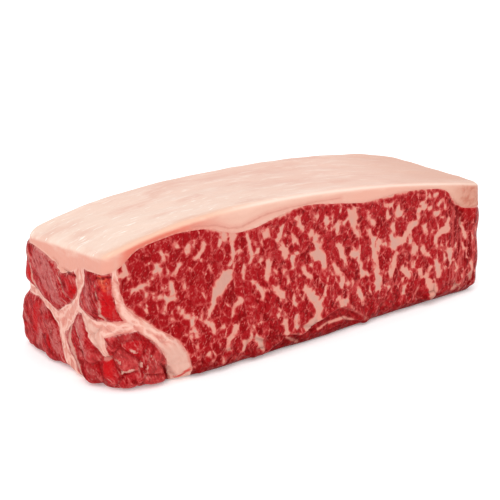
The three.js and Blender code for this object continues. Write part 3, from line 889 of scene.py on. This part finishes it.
def endLean():
    look = endLook
    material, tree, shader = newMaterial("endLean")
    bend = wanderField(tree, 5, 3)
    frontward = attribute(tree, "front")
    fibres = noiseField(tree, placeIn(tree, (10, 0.9, 8), turnX=look["slant"], wander=bend), 3, 0.7)
    fibresFront = noiseField(tree, placeIn(tree, (0.9, 10, 5), turnY=14, wander=bend), 3, 0.7)
    fibres = blendNumbers(tree, frontward, fibres, fibresFront)
    bundles = noiseField(tree, placeIn(tree, (12, 3, 13), turnX=look["slant"], wander=bend), 3, 0.6)
    bundlesFront = noiseField(tree, placeIn(tree, (2.6, 12, 7), turnY=14, wander=bend), 3, 0.6)
    bundles = blendNumbers(tree, frontward, bundles, bundlesFront)
    mottle = noiseField(tree, placeIn(tree, (1.6, 1.5, 2)), 3, 0.7)
    ragged = timesPlus(tree, mottle, 4, -2)
    bright = remap(tree, minus(tree, ragged, attribute(tree, "bright")), -1.5, 1)
    pale = remap(tree, minus(tree, ragged, attribute(tree, "pale")), -1.5, 1)
    clumps = noiseField(tree, placeIn(tree, (3.4, 2.6, 4.2), turnX=look["slant"], wander=bend), 2, 0.6)
    shade = timesPlus(tree, fibres, 0.4, times(tree, mottle, 0.3))
    shade = timesPlus(tree, bundles, 0.4, shade)
    shade = timesPlus(tree, clumps, 0.5, shade)
    lean = tint(tree, colour(look["deep"]), look["red"], remap(tree, shade, 0.68, 0.8))
    lean = tint(tree, lean, look["light"], remap(tree, shade, 0.8, 0.94))
    dull = times(tree, pale, remap(tree, shade, 0.66, 0.86, 0.15, 1.0))
    lean = tint(tree, lean, look["dull"], dull)
    vivid = times(tree, bright, remap(tree, shade, 0.64, 0.8, 0.45, 0.95))
    lean = tint(tree, lean, look["bright"], vivid)
    own = attribute(tree, "gobOwn")
    lean = tint(tree, lean, look["bright"], remap(tree, own, 0.02, 0.3, 0.0, 0.3))
    lean = tint(tree, lean, look["light"], remap(tree, own, -0.04, -0.35, 0.0, 0.25))
    # Painted shade in the creases between the gobs
    shadeBetweenGobs = timesPlus(tree, ragged, -0.15, attribute(tree, "shadeBetweenGobs"))
    lean = tint(tree, lean, look["deep"], remap(tree, shadeBetweenGobs, 0.5, 0.02, 0.0, 0.7))
    streaks = times(tree, remap(tree, fibres, 0.53, 0.66), remap(tree, bundles, 0.42, 0.6))
    calm = timesPlus(tree, bright, -0.75, 0.8)
    calm = timesPlus(tree, frontward, -0.35, calm, clamp=True)
    lean = tint(tree, lean, look["streak"], times(tree, streaks, calm))
    specks = noiseField(tree, placeIn(tree, (0.8, 0.8, 1)), 2, 0.7)
    specked = times(tree, remap(tree, specks, 0.54, 0.7), timesPlus(tree, pale, 0.4, 0.1))
    lean = tint(tree, lean, look["streak"], specked)
    flawed = times(tree, remap(tree, specks, 0.46, 0.32, 0.0, 0.35), minus(tree, 1, bright))
    lean = tint(tree, lean, look["deep"], flawed)
    # Where the muscle meets its seams: painted shade along the groove, and in places a pale skin instead
    edge = timesPlus(tree, ragged, -0.5, attribute(tree, "border"))
    skin = remap(tree, bundles, 0.38, 0.5)
    rim = tint(tree, colour(look["deep"]), look["streak"], skin)
    lean = blendColours(tree, remap(tree, edge, 0.9, 0.1, 0.0, 0.65), lean, rim)
    lines = minus(tree, times(tree, ragged, 0.6), attribute(tree, "line"))
    lean = tint(tree, lean, look["fat"], remap(tree, lines, -0.5, 0.5, 0.0, 0.85))
    flecks = minus(tree, times(tree, ragged, 0.7), attribute(tree, "fleck"))
    lean = tint(tree, lean, look["fat"], remap(tree, flecks, -0.1, 0.6))
    tip = remap(tree, minus(tree, ragged, attribute(tree, "tip")), -0.6, 1.2)
    lean = tint(tree, lean, look["tip"], times(tree, tip, remap(tree, mottle, 0.3, 0.6, 0.4, 1.0)))
    inTip = minus(tree, times(tree, ragged, 0.5), attribute(tree, "tip"))
    lean = tint(tree, lean, look["peach"], remap(tree, inTip, 0.9, 3, 0.0, 0.8))
    # Painted shade along the creases of the trimmed end and in the notch beside the seam's foot
    dark = remap(tree, timesPlus(tree, ragged, 0.25, attribute(tree, "crease")), 0.5, 0, 0.0, 0.75)
    lean = tint(tree, lean, look["crease"], dark)
    feed(tree, shader.inputs["Base Color"], lean)
    shader.inputs["Roughness"].default_value = look["rough"]
    shader.inputs["Specular IOR Level"].default_value = look["gloss"]
    bump(tree, shader, maths(tree, "ADD", timesPlus(tree, mottle, 0.6, fibres), bundles), 0.8)
    return material


fatLook = {
    "cream": "efd2c1", "pink": "e9c0af", "rose": "dfa997", "light": "f7e2d5", "highlight": "fdf1e6",
    "dusk": "dba893", "peach": "eab99f", "salmon": "d97562", "corner": "b0604a",
    "rim": "e0b09d", "rimLight": "e8bba8", "crest": "f6dccd", "crease": "7d2a25", "membrane": "c07a6c",
    "seam": "df9f8f", "seamRed": "c2645a", "seamLight": "e9b6a5", "flush": "cc7468", "tip": "c4342c",
    "creamy": "d6a797", "inner": "d78d7d", "skin": "edc0b0",
    "rough": 0.42, "gloss": 0.14,
}


def softFat():
    look = fatLook
    material, tree, shader = newMaterial("softFat")
    bend = wanderField(tree, 20, 9)
    leftward = attribute(tree, "leftward")
    blotches = noiseField(tree, placeIn(tree, (24, 13, 14), wander=bend), 3)
    streaks = noiseField(tree, placeIn(tree, (13, 3.4, 8), wander=bend), 3, 0.6)
    fine = noiseField(tree, placeIn(tree, (2.4, 1.1, 1.2), wander=bend), 3, 0.65)
    # The top: creamier and lighter towards the near left end, partly its own colour and partly painted light
    fat = tint(tree, colour(look["pink"]), look["cream"], leftward)
    fat = tint(tree, fat, look["rose"], remap(tree, blotches, 0.46, 0.7, 0.0, 0.5))
    fat = tint(tree, fat, look["light"], remap(tree, streaks, 0.5, 0.72, 0.0, 0.45))
    fat = tint(tree, fat, look["rose"], remap(tree, fine, 0.58, 0.8, 0.0, 0.3))
    fat = tint(tree, fat, look["dusk"], attribute(tree, "rightward"))
    # Painted highlights: thin pale flashes on the top, towards the left end
    highlightFlashes = remap(tree, noiseField(tree, placeIn(tree, (7, 1.4, 5), wander=bend), 2), 0.62, 0.72)
    fat = tint(tree, fat, look["highlight"], times(tree, highlightFlashes, leftward))
    fat = tint(tree, fat, look["peach"], attribute(tree, "peach"))
    # The cut rim: from its lighter top down to the lean, with a painted highlight along the crest
    soft = noiseField(tree, placeIn(tree, (11, 9, 3.2), wander=bend), 2)
    depth = timesPlus(tree, soft, 0.8, attribute(tree, "depth"))
    low = tint(tree, colour(look["rim"]), look["salmon"], attribute(tree, "salmon"))
    cut = blendColours(tree, remap(tree, depth, 0.3, 0.85), colour(look["rimLight"]), low)
    cut = tint(tree, cut, look["dusk"], times(tree, attribute(tree, "rightward"), 0.7))
    fat = blendColours(tree, attribute(tree, "rim"), fat, cut)
    fat = tint(tree, fat, look["crest"], attribute(tree, "crest"))
    puckers = noiseField(tree, placeIn(tree, (4.6, 5, 3.6), wander=bend), 3, 0.6)
    dusky = times(tree, attribute(tree, "corner"), remap(tree, puckers, 0.36, 0.66, 0.48, 0.88))
    fat = tint(tree, fat, look["corner"], dusky)
    specks = times(tree, attribute(tree, "corner"), remap(tree, fine, 0.58, 0.72, 0.0, 0.5))
    fat = tint(tree, fat, look["salmon"], specks)
    # The seams between the muscles, with soft red streaks along them
    onEnd = noiseField(tree, placeIn(tree, (9, 1.3, 8), turnX=12, wander=bend), 3, 0.55)
    onFront = noiseField(tree, placeIn(tree, (1.7, 9, 9), turnY=35, wander=bend), 3, 0.55)
    onCut = attribute(tree, "front")
    strands = blendNumbers(tree, onCut, onEnd, onFront)
    seam = tint(tree, colour(look["seam"]), look["seamRed"], remap(tree, strands, 0.34, 0.48, 0.5, 0.0))
    seam = tint(tree, seam, look["seamLight"], remap(tree, strands, 0.5, 0.66))
    flush = timesPlus(tree, fine, 2.4, attribute(tree, "inSeam"))
    flushed = times(tree, remap(tree, flush, 2.3, 1.1), times(tree, onCut, 0.7))
    seam = tint(tree, seam, look["flush"], flushed)
    besideEnd = timesPlus(tree, onCut, -0.7, 0.7)
    seam = tint(tree, seam, look["inner"], times(tree, remap(tree, flush, 2, 3.2), besideEnd))
    skin = times(tree, remap(tree, flush, 2.1, 1.4), besideEnd)
    seam = tint(tree, seam, look["skin"], skin)
    waves = timesPlus(tree, attribute(tree, "inSeam"), 1.9, times(tree, streaks, 12))
    waves = maths(tree, "SINE", timesPlus(tree, blotches, 14, waves))
    seam = tint(tree, seam, look["skin"], remap(tree, waves, 0.1, -0.9, 0.0, 0.7))
    stripes = times(tree, remap(tree, waves, 0.5, 1.0), remap(tree, soft, 0.46, 0.6, 0.0, 0.5))
    seam = tint(tree, seam, look["seamRed"], stripes)
    calm = times(tree, attribute(tree, "calm"), remap(tree, flush, 1.2, 2.4, 0.2, 0.85))
    seam = tint(tree, seam, look["creamy"], calm)
    tip = timesPlus(tree, fine, 2, times(tree, attribute(tree, "tip"), -1))
    seam = tint(tree, seam, look["tip"], remap(tree, tip, 0.6, 1.6, 0.0, 0.9))
    fat = blendColours(tree, attribute(tree, "seam"), fat, seam)
    # Painted shade along the creases of the trimmed end and in the notch beside the seam's foot
    crease = timesPlus(tree, fine, 1.2, attribute(tree, "crease"))
    fat = tint(tree, fat, look["crease"], remap(tree, crease, 0.85, 0.5, 0.0, 0.6))
    broken = timesPlus(tree, fine, 0.5, attribute(tree, "membrane"))
    fat = tint(tree, fat, look["inner"], remap(tree, broken, 2.8, 0.4, 0.0, 0.42))
    fat = tint(tree, fat, look["membrane"], remap(tree, broken, 0.62, 0.2, 0.0, 0.5))
    feed(tree, shader.inputs["Base Color"], fat)
    shader.inputs["Roughness"].default_value = look["rough"]
    shader.inputs["Specular IOR Level"].default_value = look["gloss"]
    bump(tree, shader, timesPlus(tree, fine, 0.3, streaks), 0.4)
    return material


def finishPiece(piece, material, node):
    mesh = piece.data
    drawn = getPoints(mesh)
    mesh.materials.clear()
    mesh.materials.append(material)
    mesh.shade_smooth()
    mesh.set_sharp_from_angle(angle=radians(50))
    # From drawn millimetres to the frame, fitted to the block's box
    setPoints(mesh, (drawn - drawnLow) / (drawnHigh - drawnLow) * (boxHigh - boxLow) + boxLow)
    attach(piece, "root")
    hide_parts(node)
    print(piece.name, len(mesh.vertices), "vertices")


allPoints = np.concatenate([getPoints(piece.data) for piece in (fatPiece, eyePiece, endPiece)])
drawnLow, drawnHigh = allPoints.min(axis=0), allPoints.max(axis=0)
boxLow, boxHigh = np.array(cadBox[0]), np.array(cadBox[1])

# Thin pale arms in the membrane at the foot: x, z and width
veilThreads = [
    [(-18, 6, 0.4), (-10.9, 2, 0.8)],
    [(0, 6, 0.2), (7.1, 7.3, 0.6), (16.8, 7.3, 0.6), (24, 4, 0.2)],
]
# Brighter wedge below the right end of the cap: x, z and half width
rightWedge = [(97, 47.5, 1.5), (102, 46, 4), (105, 42, 4)]


def dressEye(piece):
    points = getPoints(piece.data)
    x, y, z = points.T
    onCut = smooth(y, -22, -32)
    offCut = 9 * (1 - onCut)
    setAttribute(piece, "fleck", fleckDistance(points))
    setAttribute(piece, "border", borderDistance(points))
    setAttribute(piece, "rich", 0.45 * smooth(x, -5, -70))
    # Painted shade under the foot and in the creases between the gobs along it
    underFoot = smooth(z + noiseAt(points, (7, 9, 5), 12) * 3, 7, 0.5)
    betweenGobs = smooth(lumpsAt(points, relief["gobSize"])[0], 0.16, 0)
    setAttribute(piece, "low", np.maximum(underFoot, 0.7 * onCut * smooth(z, 14, 7) * betweenGobs))
    setAttribute(piece, "grain", smooth(x, 82, 94) * smooth(z, 52, 46))
    setAttribute(piece, "veil", onCut * inVeil(x, z))
    veilEdge = lineDistance([(foldX, foldZ, -0.3) for foldX, foldZ in foldLine], x, z)
    setAttribute(piece, "thread", np.minimum(veilEdge, nearestOf(veilThreads, x, z)) + offCut)
    creases = np.minimum(lineDistance(rightCrease, x, z), lineDistance(notchLine, x, z))
    setAttribute(piece, "crease", np.maximum(creases, 0) + offCut)
    setAttribute(piece, "wedge", lineDistance(rightWedge, x, z))


# Patches of the trimmed end: y, z and width, brighter or duller than the rest
brightPatches = [
    [(-5, 44, 2), (-9, 40, 4), (-7, 35, 3)], [(-33, 50, 1), (-34, 44, 2.6), (-32, 36, 4)],
    [(29, 34, 5), (32, 44, 4)], [(25, 22, 5), (28, 12, 4)], [(-28.5, 16, 3), (-29, 8, 4.4)],
    [(16.5, 16, 1.6), (15.4, 12, 2.6), (13, 7, 2.2)],
]
palePatches = [
    [(-20, 8, 2), (-23, 5, 4)],
    [(20, 47, 12), (12, 40, 13), (5, 33, 6)], [(-22, 46, 4), (-25, 38, 3)], [(14, 17, 5), (9, 8, 6)],
    [(22, 12, 2), (25, 6, 3)], [(17, 25, 3), (24, 22, 3)],
    [(-13, 27, 4), (-16, 14, 4)], [(-1, 21, 2), (-4, 13, 4), (-8, 5, 4)],
]
# Thin pale lines between and in the small muscles: y, z and width
paleLines = [
    [(3, 46, 0.5), (0.8, 41, 0.8), (-1.7, 36.3, 0.8), (-5, 33, 1.2)],
    [(31, 49, 0.6), (28, 44, 1), (27.4, 36, 1.2), (23.5, 31.5, 1.6)],
    [(-2.5, 26, 1.4), (-4.6, 20, 0.9), (-7, 13, 0.9), (-11, 6, 1.4), (-15, 2, 2)],
    [(-29.5, 49, 0.8), (-30.6, 44, 0.5), (-30.9, 40, 0.8), (-29, 33, 1.4)],
    [(-5, 22, 1.8), (-7, 16, 2.2), (-10, 10.5, 2.6), (-14, 5, 3.2)],
    [(-12.4, 28, 0.4), (-13, 21, 0.8), (-14, 15, 0.5)],
]
orangeTips = [[(-31, 52.5, 2.6), (-33, 51.5, 4), (-34, 48, 2)], [(35, 50, 3), (37, 44, 2)]]
# Small flecks of the muscle at the near corner: x, z and width
cornerFlecks = [
    [(-98.4, 19.4, 1.2), (-96, 17.6, 1.6)], [(-101, 8.6, 1.4), (-97.5, 9.8, 2)],
    [(-89, 14.8, 1), (-88, 12, 1)], [(-91, 10.6, 0.9), (-91.3, 7, 0.9)],
    [(-94, 13, 0.6), (-93.4, 10, 0.8)], [(-103, 15, 0.6), (-102, 13, 0.9)],
]


def creaseDistance(x, y, z):
    away = np.min([lineDistance(rows, y, z) for rows in endCreases], axis=0)
    onNotch = np.maximum(lineDistance(notchLine, x, z), 0) + 9 * smooth(y, -30, -24)
    return np.minimum(np.maximum(away, 0) + 9 * smooth(x, -103, -98), onNotch)


def dressEnd(piece):
    points = getPoints(piece.data)
    x, y, z = points.T
    setAttribute(piece, "bright", nearestOf(brightPatches, y, z))
    setAttribute(piece, "pale", nearestOf(palePatches, y, z))
    setAttribute(piece, "tip", nearestOf(orangeTips, y, z))
    setAttribute(piece, "line", nearestOf(paleLines, y, z) + 9 * smooth(x, -104, -98))
    setAttribute(piece, "fleck", nearestOf(cornerFlecks, x, z) + 9 * smooth(y, -30, -26))
    setAttribute(piece, "crease", creaseDistance(x, y, z))
    frontward = np.abs(getNormals(piece.data)[:, 1])
    setAttribute(piece, "front", smooth(frontward, 0.45, 0.85))
    gobs, own = lumpsAt(points, relief["gobSize"])
    # Where the creases between the gobs lie, for the painted shade between them
    corner = np.maximum(smooth(z, 34, 26) * smooth(y, -12, -22), 0.5 * smooth(z, 24, 10))
    setAttribute(piece, "shadeBetweenGobs", 1 - corner * (1 - np.clip(gobs / 0.3, 0, 1)))
    setAttribute(piece, "gobOwn", own * corner)
    besideSeam = lineDistance(mainSeam, x - seamShift(y, z), z)
    setAttribute(piece, "border", np.min([leanHeight(x, y) - z, besideSeam, endSeamDistance(y, z)], axis=0))


# Flap of fat on the trimmed end (y, z), and the red tip of the main seam's foot (x, z), with half widths
flapLine = [(-21, 28, 4), (-24.5, 22, 4.2)]
seamTip = [(-77, 1.6, 0.8), (-73.6, 3.2, 1.4), (-71, 5, 0.6)]


def dressFat(piece):
    points = getPoints(piece.data)
    x, y, z = points.T
    belowTop = topHeight(x, y) - z
    aboveLean = z - leanHeight(x, y)
    onFront = smooth(y, -24, -32)
    offFront = 9 * (1 - onFront)
    setAttribute(piece, "rim", smooth(belowTop, 0.6, 2.2))
    setAttribute(piece, "depth", np.clip(belowTop / np.maximum(belowTop + aboveLean, 1), 0, 1))
    # A painted highlight along the crest of the cut face
    setAttribute(piece, "crest", 0.7 * smooth(np.abs(belowTop - 0.7), 0.9, 0) * smooth(x, -60, -30) * onFront)
    leftRim = smooth(x, -42, -78) * smooth(x, -108, -97)
    rightRim = 0.22 * smooth(x, 5, 30) * smooth(x, 86, 60)
    endRim = 0.42 * smooth(x, -100, -106)
    setAttribute(piece, "salmon", np.maximum(onFront * np.maximum(leftRim, rightRim), endRim))
    flap = smooth(lineDistance(flapLine, y, z), 1, -2) * smooth(x, -98, -104)
    setAttribute(piece, "calm", np.maximum(onFront * smooth(z, 22, 14), 0.6 * flap))
    setAttribute(piece, "tip", lineDistance(seamTip, x, z) + offFront)
    setAttribute(piece, "peach", 0.9 * smooth(y, -28, -36) * smooth(x, -10, -60))
    setAttribute(piece, "leftward", smooth(x + y * 0.8, 30, -110))
    setAttribute(piece, "rightward", 0.9 * smooth(x - y * 0.3, 40, 112))
    setAttribute(piece, "corner", smooth(x, 82, 103) * smooth(belowTop, 0, 3))
    setAttribute(piece, "seam", smooth(-aboveLean, -1, 1))
    setAttribute(piece, "front", onFront)
    onEnd = np.where(x < -96, endSeamDistance(y, z), 99)
    setAttribute(piece, "inSeam", -np.minimum(lineDistance(mainSeam, x - seamShift(y, z), z), onEnd))
    setAttribute(piece, "crease", creaseDistance(x, y, z))
    # Millimetres to the membrane's middle, on the cut face only
    setAttribute(piece, "membrane", np.maximum(membraneDistance(x, z), 0) + offFront)


print("Marbling")
dressEye(eyePiece)
dressEnd(endPiece)
dressFat(fatPiece)

print("Materials")
finishPiece(eyePiece, marbledLean(), "eye_muscle")
finishPiece(endPiece, endLean(), "end_muscles")
finishPiece(fatPiece, softFat(), "fat_cap_and_seam")

studio = {
    "world": 0.78, "sun": 1.15, "sunSpread": 50, "floorSize": 40, "floorGlow": 0.22,
}


def areaLight(name, place, aim, size, power):
    light = bpy.data.lights.new(name, "AREA")
    light.shape = "DISK"
    light.size = size
    light.energy = power
    lamp = bpy.data.objects.new(name, light)
    lamp.location = place
    lamp.rotation_euler = (Vector(aim) - Vector(place)).to_track_quat("-Z", "Y").to_euler()
    bpy.context.scene.collection.objects.link(lamp)


def sunLight(name, place):
    light = bpy.data.lights.new(name, "SUN")
    light.energy = studio["sun"]
    light.angle = radians(studio["sunSpread"])
    lamp = bpy.data.objects.new(name, light)
    lamp.location = place
    lamp.rotation_euler = Vector(place).to_track_quat("Z", "Y").to_euler()
    bpy.context.scene.collection.objects.link(lamp)


def studioFloor():
    bm = bmesh.new()
    bmesh.ops.create_grid(bm, x_segments=1, y_segments=1, size=studio["floorSize"] / 2)
    mesh = bpy.data.meshes.new("floor")
    bm.to_mesh(mesh)
    bm.free()
    floor = bpy.data.objects.new("floor", mesh)
    bpy.context.scene.collection.objects.link(floor)
    material, tree, shader = newMaterial("paleFloor")
    shader.inputs["Base Color"].default_value = (0.95, 0.95, 0.95, 1)
    shader.inputs["Roughness"].default_value = 0.9
    shader.inputs["Specular IOR Level"].default_value = 0
    shader.inputs["Emission Color"].default_value = (1, 1, 1, 1)
    shader.inputs["Emission Strength"].default_value = studio["floorGlow"]
    mesh.materials.append(material)


print("Studio")
studioFloor()
sunLight("key", (-0.6, -0.55, 1.0))
areaLight("top", (0.1, 0.1, 1.2), (0, 0, 0.03), 1, 1.2)
areaLight("fill", (0.7, -1.2, 0.5), (0, 0, 0.03), 0.8, 1)
world = bpy.data.worlds.new("studioWorld")
world.use_nodes = True
world.node_tree.nodes["Background"].inputs["Color"].default_value = (1, 1, 1, 1)
world.node_tree.nodes["Background"].inputs["Strength"].default_value = studio["world"]
bpy.context.scene.world = world
bpy.context.scene.view_settings.view_transform = "Standard"

camera = bpy.data.cameras.new("camera")
camera.lens = photo["lens"]
camera.sensor_width = photo["sensor"]
cameraObject = bpy.data.objects.new("camera", camera)
cameraObject.location = photo["cameraPlace"]
cameraObject.rotation_euler = (radians(90 - photo["pitch"]), 0, radians(photo["turn"]))
bpy.context.scene.collection.objects.link(cameraObject)
bpy.context.scene.camera = cameraObject
